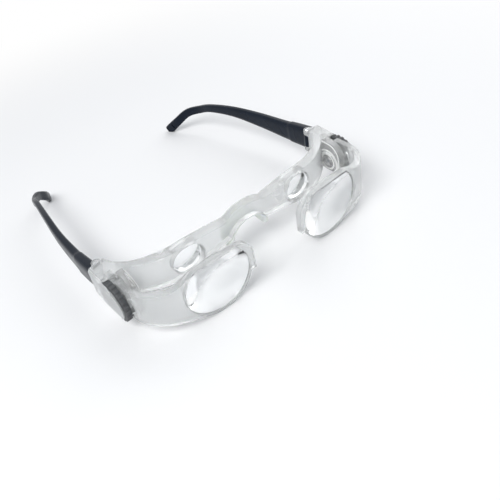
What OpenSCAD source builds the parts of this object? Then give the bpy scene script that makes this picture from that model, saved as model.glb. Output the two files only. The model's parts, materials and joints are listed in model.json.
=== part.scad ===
// Binocular magnifier glasses: two Galilean telescopes side by side in one
// spectacle frame. Each front lens is carried on a clear arm that slides fore
// and aft in the end of the frame, and a knurled wheel with a spiral groove
// moves it, so that each eye is focused by itself. All sizes in millimetres.
//
// The glasses are drawn in their own frame: x to the wearer's left, y from the
// front lenses to the ears, z up, with x = 0 on the nose, y = 0 at the temple
// hinges and z = 0 near the middle of the frame bar. stand() then sets them on
// a table. Heights and drops below are measured from z = 0.

/* [Optics] */
// Distance between the two optical axes
axis_gap = 68.4; // [62:0.2:72]
// Radius of a front lens
obj_r = 17.3; // [15:0.1:18]
// Height of the flat top edge of a front lens above its own centre
obj_flat = 13.1; // [10:0.1:14]
// Height of the centre of a front lens
obj_z = 2.4; // [1:0.1:3]
// Edge thickness of a front lens
obj_edge = 1.5; // [1:0.1:1.9]
// Bulge of the front surface of a front lens
obj_front_sag = 2.2; // [1:0.1:3]
// Bulge of the rear surface of a front lens
obj_rear_sag = 4.2; // [2:0.1:5]
// Depth of the edge of a front lens behind the face of its carrier
obj_inset = 1.2; // [0.8:0.1:1.4]
// Width of an oval eyepiece lens
eye_w = 16; // [14.5:0.1:17]
// Height of an eyepiece lens
eye_h = 13.8; // [12:0.1:14.4]
// Edge thickness of an eyepiece lens
eye_edge = 3.4; // [2.6:0.1:4]
// Depth of the hollow in the front of an eyepiece lens
eye_front_hollow = 0.5; // [0.2:0.05:0.8]
// Depth of the hollow in the rear of an eyepiece lens
eye_rear_hollow = 1.5; // [0.8:0.05:1.6]
// Height of the centre of an eyepiece lens
eye_z = 1; // [0.2:0.1:1.4]
// Depth that the eyepieces sit behind the front of the bar
eye_inset = 1.8; // [1.2:0.1:2.2]

/* [Front carriers] */
// Distance from the hinges forward to the nose ends of the carriers
front_reach = 49.9; // [48:0.1:51]
// Angle by which a carrier's face is turned outwards
wrap = 2.5; // [0:0.1:4]
// Radius of the outer corner of a carrier, seen from above
corner_r = 22; // [20:0.5:23]
// Wall thickness of a carrier
shell_t = 3.4; // [3:0.1:3.8]
// Height of the carrier's top edge over the lens
shell_top = 16.2; // [16:0.1:17.5]
// Height of the carrier's top edge where the arm enters the frame
arm_top = 8.5; // [7.6:0.1:9]
// Drop of the carrier's bottom edge at the outer corner
shell_low = 8.9; // [8.2:0.1:10]
// Distance from the middle of the nose to the inner end of a carrier
nose_end = 14.2; // [12:0.1:15]
// Radius of the rounded corner at the nose end of a carrier
nose_corner_r = 9; // [6:0.5:10]
// Thickness of the rim round the lower half of a front lens
rim_t = 0.7; // [0.6:0.05:1.2]
// Travel of a carrier each way from the middle
travel = 2; // [1:0.1:2.2]

/* [Focusing wheels] */
// Radius of a wheel over its ribs
wheel_r = 10.5; // [9.5:0.1:10.8]
// Width of a wheel
wheel_w = 2.8; // [2.4:0.1:3]
// Number of ribs round a wheel
rib_count = 22; // [16:1:30]
// Depth of the valleys between the ribs
rib_depth = 0.6; // [0.3:0.05:0.8]
// Distance of the wheel axle in front of the hinges
axle_y = 19; // [18:0.1:19.4]
// Drop of the wheel axle
axle_drop = 2.6; // [2.2:0.1:3.8]
// Radius of the wheel's hub
hub_r = 2.6; // [2.2:0.1:2.8]
// Radius of the spiral groove in its middle
groove_mid_r = 6.9; // [6.8:0.05:7]
// Width of the spiral groove
groove_w = 1.4; // [1.2:0.05:1.5]
// Depth of the spiral groove
groove_depth = 1.1; // [0.8:0.05:1.3]
// Turn of a wheel each way that moves its carrier over its travel
wheel_turn = 150; // [120:5:160]
// Radius of the follower pin
pin_r = 0.55; // [0.4:0.05:0.6]
// Radius of the wheel screw's shank
wheel_screw_r = 1; // [0.8:0.05:1.2]
// Radius of the wheel screw's head
wheel_screw_head_r = 1.9; // [1.6:0.1:2.2]

/* [Frame] */
// Height of the top of the brow bar
bar_top = 9.6; // [9.2:0.1:10.5]
// Drop of the bottom of the bar
bar_low = 8; // [7.8:0.1:8.6]
// Height of the top of the bridge
bridge_top = 13; // [12:0.1:14.5]
// Half width of the raised bridge
bridge_half = 11.1; // [9:0.1:12]
// Radius of the nose arch
arch_r = 13; // [12:0.1:14]
// Height of the top of the nose arch
arch_top = 5.1; // [4:0.1:6]
// Half width of the frame at the outer walls
frame_half = 73.9; // [73.7:0.1:75]
// Radius of the rounded front end of an outer wall, about the wheel axle
guard_r = 8.6; // [8:0.1:9.4]
// Thickness of the bearing covers inside the wheels
cover_t = 3.5; // [2.8:0.1:4]
// Thickness of the soft nose saddle
saddle_t = 3; // [2:0.1:3.2]

/* [Temples] */
// Width of a temple at its hinge
temple_w = 6.6; // [6:0.1:7]
// Height of a temple at its hinge
temple_h = 13.2; // [12:0.1:14]
// Distance from the hinges back to the tips
temple_reach = 119; // [110:1:126]
// Half distance between the two tips
tip_half = 48; // [44:0.5:54]
// Drop of the tips
tip_drop = 35.6; // [32:0.2:38]
// Length of a cord slot near the tip
cord_slot = 3.4; // [2.4:0.1:4]
// Distance of a hinge pin in from the outer side of the frame
hinge_in = 6.3; // [5.8:0.1:6.6]
// Distance of a hinge pin behind the end of the frame
hinge_back = 2.6; // [2.5:0.05:3]
// Radius of the hinge knuckles
knuckle_r = 2.4; // [2.1:0.1:2.5]
// Height of each of the frame's two knuckles
lug_h = 2.6; // [2:0.1:3]
// Radius of a hinge screw
hinge_screw_r = 0.8; // [0.6:0.05:1]

/* [Hidden] */
$fn = 96;

left = 1;
right = -1;
lens_x = axis_gap / 2;

// Clearances
run = 0.35;        // between pieces that slide on each other
seat = 0.05;       // between pieces that are fixed together
bore_gap = 0.05;   // round a screw or an axle
pin_seat = 0.01;   // round the follower pin, which is pressed in
hinge_gap = 0.2;   // between the knuckles
over = 1;          // how far a cut runs past a face
far = 200;         // longer than any cut through the part needs

// Layers through the end of the frame, from the nose outwards
wall_in_x = frame_half - 1.25;
wheel_out_x = wall_in_x - 0.25;
wheel_in_x = wheel_out_x - wheel_w;
arm_out_x = wheel_in_x - run;
arm_in_x = arm_out_x - shell_t;
relief = 0.15;
cover_out_x = arm_in_x + relief - run;
cover_in_x = cover_out_x - cover_t;
washer_t = 0.3;
hub_in_x = cover_out_x + washer_t + seat;

// Carrier: the face is a flat plate that runs into the round corner
corner_x = arm_out_x - corner_r;
corner_y = -front_reach + corner_r * cos(wrap)
    + (corner_x + corner_r * sin(wrap) - nose_end) * tan(wrap);
lens_along = (lens_x - corner_x - corner_r * sin(wrap)) / cos(wrap);
plate_y = corner_y - corner_r * cos(wrap) + lens_along * sin(wrap);
rim_r = obj_r + seat + rim_t;
rim_low = rim_r - obj_z;
rim_step_z = -2.4;
rim_back = 0.3;
arm_low = 6.5;
step_y = corner_y - 0.6;
window_low = -5.8;
window_top = 4.4;
tongue_top = 5.9;
tongue_rear_y = -11.8;
slot_rear_y = -14.5;
arm_rear_y = -19.2;
axle_z = -axle_drop;
pin_y = -axle_y - groove_mid_r;

// Frame
end_y = -1.2;
bar_gap = 0.4;
cover_rear_y = -14.9;
cover_front_y = -27.6;
cover_top = 9.3;
cover_corner_r = 8;
head_seat = 1.5;
boss_h = 0.6;
boss_w = 1.2;
boss_step_r = 5.6;
boss_step_h = 0.3;
arch_z = arch_top - arch_r;
saddle_front = 28.6;
saddle_rear = 15.4;
saddle_low = 7.2;

// Hinges
hinge_x = frame_half - hinge_in;
hinge_y = end_y + hinge_back;
lug_top = 5.6;
lug_low = -7.2;
fold_room = 0.3;

// Points of a smooth curve through hand-set points, n steps between each pair.
function pick(p, i) = p[max(0, min(len(p) - 1, i))];
function blend(a, b, c, d, t) =
    0.5 * (2 * b + (c - a) * t + (2 * a - 5 * b + 4 * c - d) * t * t
           + (3 * b - a - 3 * c + d) * t * t * t);
function smooth(p, n) = concat(
    [for (i = [0 : len(p) - 2], k = [0 : n - 1])
        blend(pick(p, i - 1), p[i], p[i + 1], pick(p, i + 2), k / n)],
    [p[len(p) - 1]]);
function flip(p) = [for (q = p) [-q[0], q[1]]];
function backwards(p) = [for (i = [len(p) - 1 : -1 : 0]) p[i]];

// Radius of a sphere whose cap of radius r is sag high
function cap_radius(r, sag) = (r * r + sag * sag) / (2 * sag);

// Sets a piece on the table: the temple tips and the rims of the front lenses
// touch it together, so the glasses lean forward by a few degrees.
tip_y = temple_reach;
lean = atan((tip_drop - rim_low) / (tip_y - plate_y));
settle = 0.3;
rest_z = rim_low * cos(lean) - plate_y * sin(lean) - settle;
front_y = -front_reach * cos(lean) - shell_top * sin(lean);
back_y = (tip_y + 1.5) * cos(lean) + tip_drop * sin(lean);
middle_y = (front_y + back_y) / 2;

module stand() {
    translate([0, -middle_y, rest_z]) rotate([lean, 0, 0]) children();
}

module side(s) {
    stand() mirror([s < 0 ? 1 : 0, 0, 0]) children();
}

// Takes off what would reach below the table, which leaves a small flat foot
module on_table() {
    difference() {
        children();
        translate([-far / 2, -far / 2, -far]) cube([far, far, far]);
    }
}

// Drawings in a plane, pushed out along an axis
module along_x(x0, x1) {
    translate([x0, 0, 0]) rotate([90, 0, 90]) linear_extrude(x1 - x0) children();
}

module along_y(y0, y1) {
    translate([0, y1, 0]) rotate([90, 0, 0]) linear_extrude(y1 - y0) children();
}

module along_z(z0, z1) {
    translate([0, 0, z0]) linear_extrude(z1 - z0) children();
}

module rod_x(x0, x1, y, z, r) {
    translate([x0, y, z]) rotate([0, 90, 0]) cylinder(h = x1 - x0, r = r);
}

module rod_z(z0, z1, x, y, r) {
    translate([x, y, z0]) cylinder(h = z1 - z0, r = r);
}

module box(x0, x1, y0, y1, z0, z1) {
    translate([x0, y0, z0]) cube([x1 - x0, y1 - y0, z1 - z0]);
}

// The oval of an eyepiece, made bigger all round by grow
module eye_oval(grow = 0) {
    r = eye_h / 2 + grow;
    half = (eye_w - eye_h) / 2;
    translate([lens_x, eye_z]) {
        translate([half, 0]) circle(r);
        translate([-half, 0]) circle(r);
        square([2 * half, 2 * r], center = true);
    }
}

// The countersunk mouth of an eyepiece seat
module eye_mouth(y_front, depth, flare) {
    r = eye_h / 2 + seat;
    half = (eye_w - eye_h) / 2;
    translate([lens_x, y_front, eye_z]) {
        for (e = [-half, half])
            translate([e, 0, 0]) rotate([-90, 0, 0])
                cylinder(h = depth, r1 = r + flare, r2 = r);
        rotate([90, 0, 90]) translate([0, 0, -half]) linear_extrude(2 * half)
            polygon([[0, r + flare], [0, -r - flare], [depth, -r], [depth, r]]);
    }
}

// The frame

// Front and rear edges of the bar, seen from above
bar_front = [[0, -28.8], [12, -28.3], [22, -27.1], [34, -26.2], [44, -25],
             [frame_half - 21.9, -21.9], [frame_half - 13.9, -16.7],
             [frame_half - 7.9, -11.3], [frame_half - 1.9, -8]];
bar_rear = [[0, -23.4], [11, -22.8], [21, -21.3], [32, -20.3], [42, -19.7],
            [frame_half - 23.9, -17.6], [frame_half - 16.9, -13.8], [frame_half - 11.9, -8.6],
            [frame_half - 8.7, -4], [frame_half - 7.5, end_y]];
bar_steps = 4;
eye_front_y = -26.2;

module bar_plan() {
    front = smooth(bar_front, bar_steps);
    rear = smooth(bar_rear, bar_steps);
    polygon(concat(backwards(flip(front)), front, [[frame_half - 1, end_y]], backwards(rear),
                   flip(rear), [[-frame_half + 1, end_y]]));
}

// The bar seen from the front, with the bridge and the nose arch
module bar_face() {
    hump_r = cap_radius(bridge_half, bridge_top - bar_top);
    difference() {
        union() {
            polygon([[-frame_half, -bar_low], [frame_half, -bar_low], [frame_half, bar_top - 4.6],
                     [frame_half - 1.5, bar_top - 2.7], [frame_half - 7.9, bar_top - 1.1],
                     [frame_half - 23.9, bar_top], [-frame_half + 23.9, bar_top],
                     [-frame_half + 7.9, bar_top - 1.1], [-frame_half + 1.5, bar_top - 2.7],
                     [-frame_half, bar_top - 4.6]]);
            intersection() {
                translate([0, bridge_top - hump_r]) circle(hump_r);
                translate([-bridge_half, 0]) square([2 * bridge_half, bridge_top + over]);
            }
        }
        translate([0, arch_z]) circle(arch_r);
        polygon([[0, -1], [11, -1], [lens_x + 1, -bar_low], [lens_x + 1, -bar_low - over],
                 [-lens_x - 1, -bar_low - over], [-lens_x - 1, -bar_low], [-11, -1]]);
    }
}

// Half of the moulded end: roof, outer wall and the block that the hinge grows
// from, seen from above
module end_plan() {
    polygon(concat(
        [[cover_in_x - 0.9, cover_rear_y + seat], [cover_in_x - 0.9, -12],
         [frame_half - 8.7, end_y]],
        smooth([[frame_half - 0.5, end_y], [frame_half, -8], [frame_half - 0.15, -20],
                [frame_half - 0.55, -28]], bar_steps),
        [[wall_in_x, -28], [wall_in_x, cover_rear_y + seat]]));
}

// The end seen from the side: a round front about the wheel axle
module end_side() {
    translate([-axle_y, axle_z]) circle(guard_r);
    polygon([[end_y, -bar_low], [end_y, bar_top], [slot_rear_y, bar_top],
             [slot_rear_y, bar_top - 2.2], [-axle_y, axle_z + guard_r], [-axle_y, -bar_low]]);
}

module frame_end() {
    intersection() {
        along_z(-bar_low, bar_top) end_plan();
        along_y(-40, 0) bar_face();
        along_x(0, far) end_side();
    }
}

// Room for the wheel, and for the tongue of the arm under the roof
module wheel_room() {
    rod_x(wheel_in_x - run + 0.1, wall_in_x, -axle_y, axle_z, wheel_r + run);
    box(wheel_in_x - run + 0.1, wall_in_x, -40, -axle_y, -20, 20);
    box(wheel_in_x - run + 0.1, wall_in_x, -axle_y - over, -axle_y + 6, -20, axle_z);
    box(cover_out_x, wheel_in_x, -40, tongue_rear_y + travel + run, -arm_low - run, tongue_top + run);
    box(cover_out_x, wall_in_x, -40, slot_rear_y, -20, 20);
}

module hinge_lug(z0) {
    rod_z(z0, z0 + lug_h, hinge_x, hinge_y, knuckle_r);
    box(hinge_x - knuckle_r, hinge_x + knuckle_r, end_y - over, hinge_y, z0, z0 + lug_h);
}

module rear_frame() color([0.86, 0.88, 0.88, 0.55]) stand() {
    difference() {
        union() {
            intersection() {
                along_z(-bar_low - over, bridge_top + over) bar_plan();
                along_y(-40, 0) bar_face();
            }
            for (m = [0, 1]) mirror([m, 0, 0]) {
                frame_end();
                hinge_lug(lug_top - lug_h);
                hinge_lug(lug_low);
            }
        }
        for (m = [0, 1]) mirror([m, 0, 0]) {
            along_y(-40, 0) eye_oval(seat);
            eye_mouth(eye_front_y - 0.4, eye_inset + 0.4, 0.9);
            wheel_room();
            box(cover_in_x - bar_gap, wheel_in_x, -40, cover_rear_y + seat, -20, 20);
            rod_x(wall_in_x - over, frame_half - 0.4, -axle_y, axle_z, wheel_screw_r + bore_gap);
            rod_z(lug_low - over, lug_top + over, hinge_x, hinge_y, hinge_screw_r + bore_gap);
            translate([hinge_x, hinge_y, lug_top - 0.8])
                cylinder(h = over, r = 1.5 + bore_gap);
        }
    }
}

// Soft saddle that hugs the nose arch and hangs a lobe down each side
module nose_saddle() color([0.9, 0.93, 0.9, 0.7]) stand() {
    intersection() {
        along_y(-40, 0) difference() {
            translate([0, arch_z]) circle(arch_r - seat);
            translate([0, arch_z]) circle(arch_r - saddle_t);
            translate([-far / 2, -far - saddle_low]) square(far);
        }
        along_x(-arch_r, arch_r) polygon(smooth([
            [-saddle_front, arch_top + 2.9], [-saddle_front, 0],
            [0.7 - saddle_front, 2.4 - saddle_low], [3.2 - saddle_front, -saddle_low],
            [-saddle_rear - 6, -saddle_low - 0.2], [-saddle_rear - 1.8, 2.6 - saddle_low],
            [-saddle_rear, 0], [-saddle_rear - 1, arch_top + 2.9]], bar_steps));
    }
}

// Negative eyepiece lens, hollow on both faces, pressed into the bar
module eyepiece_lens(s) color([0.8, 0.86, 0.9, 0.35]) side(s) {
    y0 = eye_front_y + eye_inset;
    front_ball = cap_radius(eye_w / 2, eye_front_hollow);
    rear_ball = cap_radius(eye_w / 2, eye_rear_hollow);
    difference() {
        along_y(y0, y0 + eye_edge) eye_oval();
        translate([lens_x, y0 + eye_front_hollow - front_ball, eye_z])
            sphere(r = front_ball, $fn = 480);
        translate([lens_x, y0 + eye_edge - eye_rear_hollow + rear_ball, eye_z])
            sphere(r = rear_ball, $fn = 240);
    }
}

// The focusing drive

// Clear plate inside the wheel: it bears the wheel screw and guides the arm
module bearing_cover(s) color([0.86, 0.88, 0.88, 0.5]) side(s) {
    difference() {
        union() {
            along_x(cover_in_x, cover_out_x) difference() {
                square_from(cover_front_y, cover_rear_y, -bar_low, cover_top);
                difference() {
                    square_from(cover_front_y - over, cover_front_y + cover_corner_r,
                                cover_top - cover_corner_r, cover_top + over);
                    translate([cover_front_y + cover_corner_r, cover_top - cover_corner_r])
                        circle(cover_corner_r + 0.02);
                }
            }
            box(cover_out_x - over, arm_out_x - 0.3, step_y + travel + run, cover_rear_y,
                -bar_low, -arm_low - run);
            rod_x(cover_in_x - boss_h, cover_in_x + over, -axle_y, axle_z,
                  wheel_screw_head_r + boss_w);
            along_x(cover_in_x - boss_step_h, cover_in_x + over) intersection() {
                translate([-axle_y, axle_z]) circle(boss_step_r);
                square_from(cover_front_y, cover_rear_y, -bar_low, cover_top);
            }
        }
        rod_x(cover_in_x - over, cover_out_x + over, -axle_y, axle_z, wheel_screw_r + bore_gap);
        rod_x(cover_in_x - over, cover_in_x + head_seat, -axle_y, axle_z,
              wheel_screw_head_r + bore_gap);
    }
}

module square_from(a0, a1, b0, b1) {
    translate([min(a0, a1), b0]) square([abs(a1 - a0), b1 - b0]);
}

// Screw that is the wheel's axle, driven from the inside into the outer wall
module wheel_screw(s) color("silver") side(s) {
    head_h = 1.2;
    slot_w = 0.5;
    head_x = cover_in_x + head_seat - head_h;
    difference() {
        union() {
            rod_x(head_x, cover_in_x + head_seat, -axle_y, axle_z, wheel_screw_head_r);
            rod_x(head_x, frame_half - 0.5, -axle_y, axle_z, wheel_screw_r);
        }
        box(head_x - over, head_x + 0.5, -axle_y - slot_w / 2, -axle_y + slot_w / 2,
            axle_z - 3, axle_z + 3);
    }
}

// Dished washer that holds the wheel where it is turned to
module spring_washer(s) color("silver") side(s) {
    translate([cover_out_x, -axle_y, axle_z]) rotate([0, 90, 0]) difference() {
        cylinder(h = washer_t, r1 = hub_r, r2 = hub_r - 0.5);
        translate([0, 0, -over]) cylinder(h = washer_t + 2 * over, r = wheel_screw_r + bore_gap);
    }
}

// Spiral groove in the wheel's inner face: its radius at the follower pin grows
// steadily as the wheel turns, so the carrier moves by travel over wheel_turn.
groove_margin = 12;
groove_step = 6;
groove_rate = travel / wheel_turn;

module groove_plan() {
    last = wheel_turn + groove_margin;
    turns = [for (a = [-last : groove_step : last]) a];
    outer = [for (a = turns) spiral_point(a, groove_w / 2)];
    inner = [for (a = turns) spiral_point(a, -groove_w / 2)];
    polygon(concat(outer, backwards(inner)));
    for (a = [turns[0], turns[len(turns) - 1]])
        translate(spiral_point(a, 0)) circle(groove_w / 2);
}

// A wheel turned by a brings the point at -a to the pin, on the front (-y) side
function spiral_point(a, shift) =
    let (r = groove_mid_r - groove_rate * a + shift) [-r * cos(a), -r * sin(a)];

module wheel_outline() {
    difference() {
        circle(wheel_r);
        for (i = [0 : rib_count - 1])
            rotate(i * 360 / rib_count)
                translate([wheel_r + valley_r - rib_depth, 0]) circle(valley_r);
    }
}

valley_r = 0.9;

// Dark wheel with coarse ribs; only its rim shows outside the frame
module focus_wheel(s) color([0.2, 0.21, 0.23]) side(s) {
    difference() {
        union() {
            along_x(wheel_in_x, wheel_out_x)
                translate([-axle_y, axle_z]) wheel_outline();
            rod_x(hub_in_x, wheel_in_x + over, -axle_y, axle_z, hub_r);
        }
        rod_x(hub_in_x - over, wheel_out_x + over, -axle_y, axle_z, wheel_screw_r + bore_gap);
        along_x(wheel_in_x - 0.01, wheel_in_x + groove_depth)
            translate([-axle_y, axle_z]) groove_plan();
    }
}

// The front lens carriers

// Seen from above: the arm, the round outer corner and the flat face to the nose
module carrier_plan() {
    difference() {
        shell_plan(0);
        shell_plan(shell_t);
    }
}

// Everything behind the shell's outer surface, or behind one depth inside it. The
// corner's circle is a hair too large, so that it crosses the flat faces.
module shell_plan(depth) {
    r = corner_r - depth;
    x_out = corner_x + r;
    y_rear = depth > 0 ? 0 : tongue_rear_y;
    difference() {
        polygon([[-depth, y_rear], [-depth, face_y(-depth, r)], [x_out, face_y(x_out, r)],
                 [x_out, y_rear]]);
        difference() {
            translate([corner_x + r * sin(wrap), corner_y - r - 5]) square([r + 5, r + 5]);
            translate([corner_x, corner_y]) circle(r + 0.02, $fn = 180);
        }
    }
}

// Where the flat face that touches a circle of radius r about the corner is at x
function face_y(x, r) = corner_y - (r - sin(wrap) * (x - corner_x)) / cos(wrap);

// Puts a drawing on the front face, centred on the lens, and pushes it back
module on_plate(y0, y1) {
    translate([corner_x, corner_y, obj_z]) rotate([0, 0, wrap])
        translate([lens_along, -corner_r + y1, 0]) rotate([90, 0, 0])
            linear_extrude(y1 - y0) children();
}

// Outline seen from the front: over the lens it is flat, then it falls to the arm
module carrier_face() {
    difference() {
        polygon(concat(
            [[nose_end, rim_step_z], [nose_end, shell_top]],
            smooth([[44, shell_top], [47.5, shell_top - 1], [51.5, shell_top - 2.7],
                    [56, shell_top - 4.3], [61.5, arm_top + 2.3], [66, arm_top + 1.3],
                    [arm_out_x + over, arm_top + 0.6]], bar_steps),
            [[arm_out_x + over, -shell_low], [60, -shell_low]],
            smooth([[56, -shell_low - 0.1], [52, -shell_low - 0.9], [48, -shell_low - 2.4],
                    [43.4, -shell_low - 4.1]], bar_steps),
            [[lens_x, rim_step_z]]));
        difference() {
            square_from(nose_end - over, nose_end + nose_corner_r, shell_top - nose_corner_r,
                        shell_top + over);
            translate([nose_end + nose_corner_r, shell_top - nose_corner_r])
                circle(nose_corner_r + 0.02);
        }
    }
}

// Outline seen from the side: it keeps the face whole and narrows along the arm
module carrier_side() {
    polygon(concat([[-60, -25], [-60, 25], [-42, 25]],
        smooth([[-38, arm_top + 2.6], [-34, arm_top + 1.1], [-28, arm_top + 0.5],
                [arm_rear_y, arm_top]], bar_steps),
        [[arm_rear_y, tongue_top], [tongue_rear_y, tongue_top], [tongue_rear_y, -arm_low],
         [step_y, -arm_low], [step_y, -25]]));
}

// Slot in the arm that lets it slide along the wheel's hub
module hub_slot() {
    for (e = [-travel, travel])
        rod_x(arm_in_x - over, arm_out_x + over, -axle_y + e, axle_z, hub_r + run);
    box(arm_in_x - over, arm_out_x + over, -axle_y - travel, -axle_y + travel,
        axle_z - hub_r - run, axle_z + hub_r + run);
}

// Gap in the wall beside the wheel, through which its face shows from inside
module wheel_window() {
    along_x(arm_in_x - 4, arm_out_x + over) intersection() {
        translate([-axle_y, axle_z]) circle(wheel_r + 1.9);
        square_from(-40, pin_y - 1.7, window_low, window_top);
    }
}

module lens_carrier(s) color([0.86, 0.88, 0.88, 0.5]) on_table() side(s) {
    difference() {
        union() {
            intersection() {
                along_z(-25, 25) carrier_plan();
                along_y(-60, 0) carrier_face();
                along_x(0, far) carrier_side();
            }
            on_plate(rim_back, shell_t - rim_back) intersection() {
                circle(rim_r, $fn = 180);
                square_from(-25, 25, -25, 0);
            }
        }
        on_plate(-over, shell_t + over) lens_outline(seat);
        wheel_window();
        hub_slot();
        box(cover_in_x - over, arm_in_x + relief, cover_front_y - travel - run, 0, -25, 25);
        rod_x(arm_out_x - 2, arm_out_x + over, pin_y, axle_z, pin_r + pin_seat);
    }
}

// Round front lens with its top cut flat
module lens_outline(grow = 0) {
    intersection() {
        circle(obj_r + grow, $fn = 180);
        square_from(-25, 25, -25, obj_flat + grow);
    }
}

module objective_lens(s) color([0.75, 0.8, 0.86, 0.35]) side(s) {
    front_r = cap_radius(obj_r, obj_front_sag);
    rear_r = cap_radius(obj_r, obj_rear_sag);
    thick = obj_front_sag + obj_edge + obj_rear_sag;
    intersection() {
        on_plate(-10, 20) lens_outline();
        translate([corner_x, corner_y, obj_z]) rotate([0, 0, wrap])
            translate([lens_along, -corner_r + obj_inset - obj_front_sag, 0])
                rotate([-90, 0, 0]) rotate_extrude($fn = 180) intersection() {
                    translate([0, front_r]) circle(front_r, $fn = 480);
                    translate([0, thick - rear_r]) circle(rear_r, $fn = 480);
                    square([obj_r + over, thick]);
                }
    }
}

// Steel pin pressed into the arm; it runs in the wheel's groove
module follower_pin(s) color("silver") side(s) {
    rod_x(arm_out_x - 2, wheel_in_x + groove_depth - 0.35, pin_y, axle_z, pin_r);
}

// The temples

// Stations down a temple: distance back, half distance from the nose, height of
// the middle, width and height of the section. The tip curls in and down.
function temple_stations() = [
    [end_y + hinge_gap, hinge_x + 2.1, -0.9, temple_w, temple_h],
    [10, hinge_x + 2.3, -2.7, temple_w - 0.6, temple_h - 0.8],
    [22, hinge_x + 2, -4.5, temple_w - 1.2, temple_h - 1.8],
    [44, hinge_x + 0.6, -6.3, temple_w - 2.2, temple_h - 4],
    [66, hinge_x - 2.3, -8, temple_w - 3, temple_h - 6.8],
    [86, 62.2, -11.9, temple_w - 3.5, temple_h - 8.2],
    [temple_reach - 21.5, 60.4, -16.4, temple_w - 3.6, temple_h - 8.3],
    [temple_reach - 12.8, 31.8 + tip_half / 2, -20.2, temple_w - 3.6, temple_h - 8],
    [temple_reach - 6.5, tip_half + 2.4, -tip_drop + 8.8, temple_w - 3.6, temple_h - 7.6],
    [temple_reach - 1, tip_half - 0.2, -tip_drop + 3.2, temple_w - 3.6, temple_h - 7.2],
    [temple_reach + 1.9, tip_half - 1.3, -tip_drop + 1, temple_w - 4, temple_h - 8.4]
];

section_points = 16;
temple_steps = 4;
square_rings = 8;

// A rounded rectangle of half width a and half height b, at angle t
function corner_power(v, p) = sign(v) * pow(abs(v), p);
function section_point(a, b, t) =
    [a * corner_power(cos(t), 0.55), b * corner_power(sin(t), 0.55)];

// Middle of a ring, and the way the temple runs there. The first rings stand square
// to the hinge, and the later ones turn until they stand square to the run.
function middle(r) = [r[1], r[0], r[2]];
function unit(v) = v / norm(v);
function run_at(rings, k) =
    let (ahead = unit(middle(pick(rings, k + 1)) - middle(pick(rings, k - 1))),
         share = min(1, k / square_rings))
    unit(share * ahead + [0, 1 - share, 0]);

module temple_body() {
    rings = smooth(temple_stations(), temple_steps);
    n = section_points;
    points = [for (k = [0 : len(rings) - 1], i = [0 : n - 1])
        let (r = rings[k],
             p = section_point(r[3] / 2, r[4] / 2, (i + 0.5) * 360 / n),
             ahead = run_at(rings, k),
             across = unit(cross(ahead, [0, 0, 1])))
            middle(r) + p[0] * across + p[1] * cross(across, ahead)];
    last = (len(rings) - 1) * n;
    sides = [for (k = [0 : len(rings) - 2], i = [0 : n - 1], half = [0, 1])
        let (a = k * n + i, b = k * n + (i + 1) % n)
            half == 0 ? [a, b, b + n] : [a, b + n, a + n]];
    first_cap = [for (i = [1 : n - 2]) [0, i + 1, i]];
    last_cap = [for (i = [1 : n - 2]) [last, last + i, last + i + 1]];
    polyhedron(points = points, faces = concat(sides, first_cap, last_cap));
}

// Two slots across the tip, for a neck cord
module cord_slots() {
    rings = smooth(temple_stations(), temple_steps);
    for (back = [2, 6]) {
        k = len(rings) - 1 - back;
        ahead = run_at(rings, k);
        translate(middle(rings[k]))
            rotate([asin(ahead[2]), 0, -atan2(ahead[0], ahead[1])])
                along_x(-temple_w, temple_w) {
                    square([slot_w, cord_slot - slot_w], center = true);
                    for (e = [-1, 1])
                        translate([0, e * (cord_slot - slot_w) / 2]) circle(slot_w / 2);
                }
    }
}

slot_w = 1.1;

// Room for a frame knuckle, also while the temple folds inwards
module lug_room(z0, z1) {
    r = knuckle_r + fold_room;
    rod_z(z0, z1, hinge_x, hinge_y, r);
    box(hinge_x - temple_w, hinge_x + r, end_y - over, hinge_y, z0, z1);
    box(hinge_x - temple_w, hinge_x, hinge_y - over, hinge_y + r, z0, z1);
}

module temple(s) color([0.09, 0.11, 0.15]) on_table() side(s) {
    knuckle_z0 = lug_low + lug_h + hinge_gap;
    knuckle_z1 = lug_top - lug_h - hinge_gap;
    difference() {
        union() {
            difference() {
                temple_body();
                box(hinge_x - temple_w, hinge_x, end_y - over, hinge_y, -20, 20);
            }
            rod_z(knuckle_z0, knuckle_z1, hinge_x, hinge_y, knuckle_r);
        }
        lug_room(knuckle_z1, 20);
        lug_room(-20, knuckle_z0);
        cord_slots();
        rod_z(-20, 20, hinge_x, hinge_y, hinge_screw_r + bore_gap);
    }
}

module hinge_screw(s) color("silver") side(s) {
    head_h = 0.6;
    head_r = 1.5;
    top = lug_top - 0.8 + head_h;
    difference() {
        union() {
            rod_z(lug_low + 0.2, top, hinge_x, hinge_y, hinge_screw_r);
            rod_z(top - head_h, top, hinge_x, hinge_y, head_r);
        }
        box(hinge_x - 0.2, hinge_x + 0.2, hinge_y - 2, hinge_y + 2, top - 0.3, top + over);
    }
}

rear_frame();
nose_saddle();
eyepiece_lens(left);  // eyepiece_lens_left
eyepiece_lens(right);  // eyepiece_lens_right
bearing_cover(left);  // bearing_cover_left
bearing_cover(right);  // bearing_cover_right
wheel_screw(left);  // wheel_screw_left
wheel_screw(right);  // wheel_screw_right
spring_washer(left);  // spring_washer_left
spring_washer(right);  // spring_washer_right
focus_wheel(left);  // focus_wheel_left
focus_wheel(right);  // focus_wheel_right
lens_carrier(left);  // lens_carrier_left
lens_carrier(right);  // lens_carrier_right
objective_lens(left);  // objective_lens_left
objective_lens(right);  // objective_lens_right
follower_pin(left);  // follower_pin_left
follower_pin(right);  // follower_pin_right
temple(left);  // temple_left
temple(right);  // temple_right
hinge_screw(left);  // hinge_screw_left
hinge_screw(right);  // hinge_screw_right
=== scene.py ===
import json
import math

import bmesh
import bpy
from mathutils import Euler, Matrix, Vector
from mathutils.bvhtree import BVHTree
from mathutils.interpolate import poly_3d_calc


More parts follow.
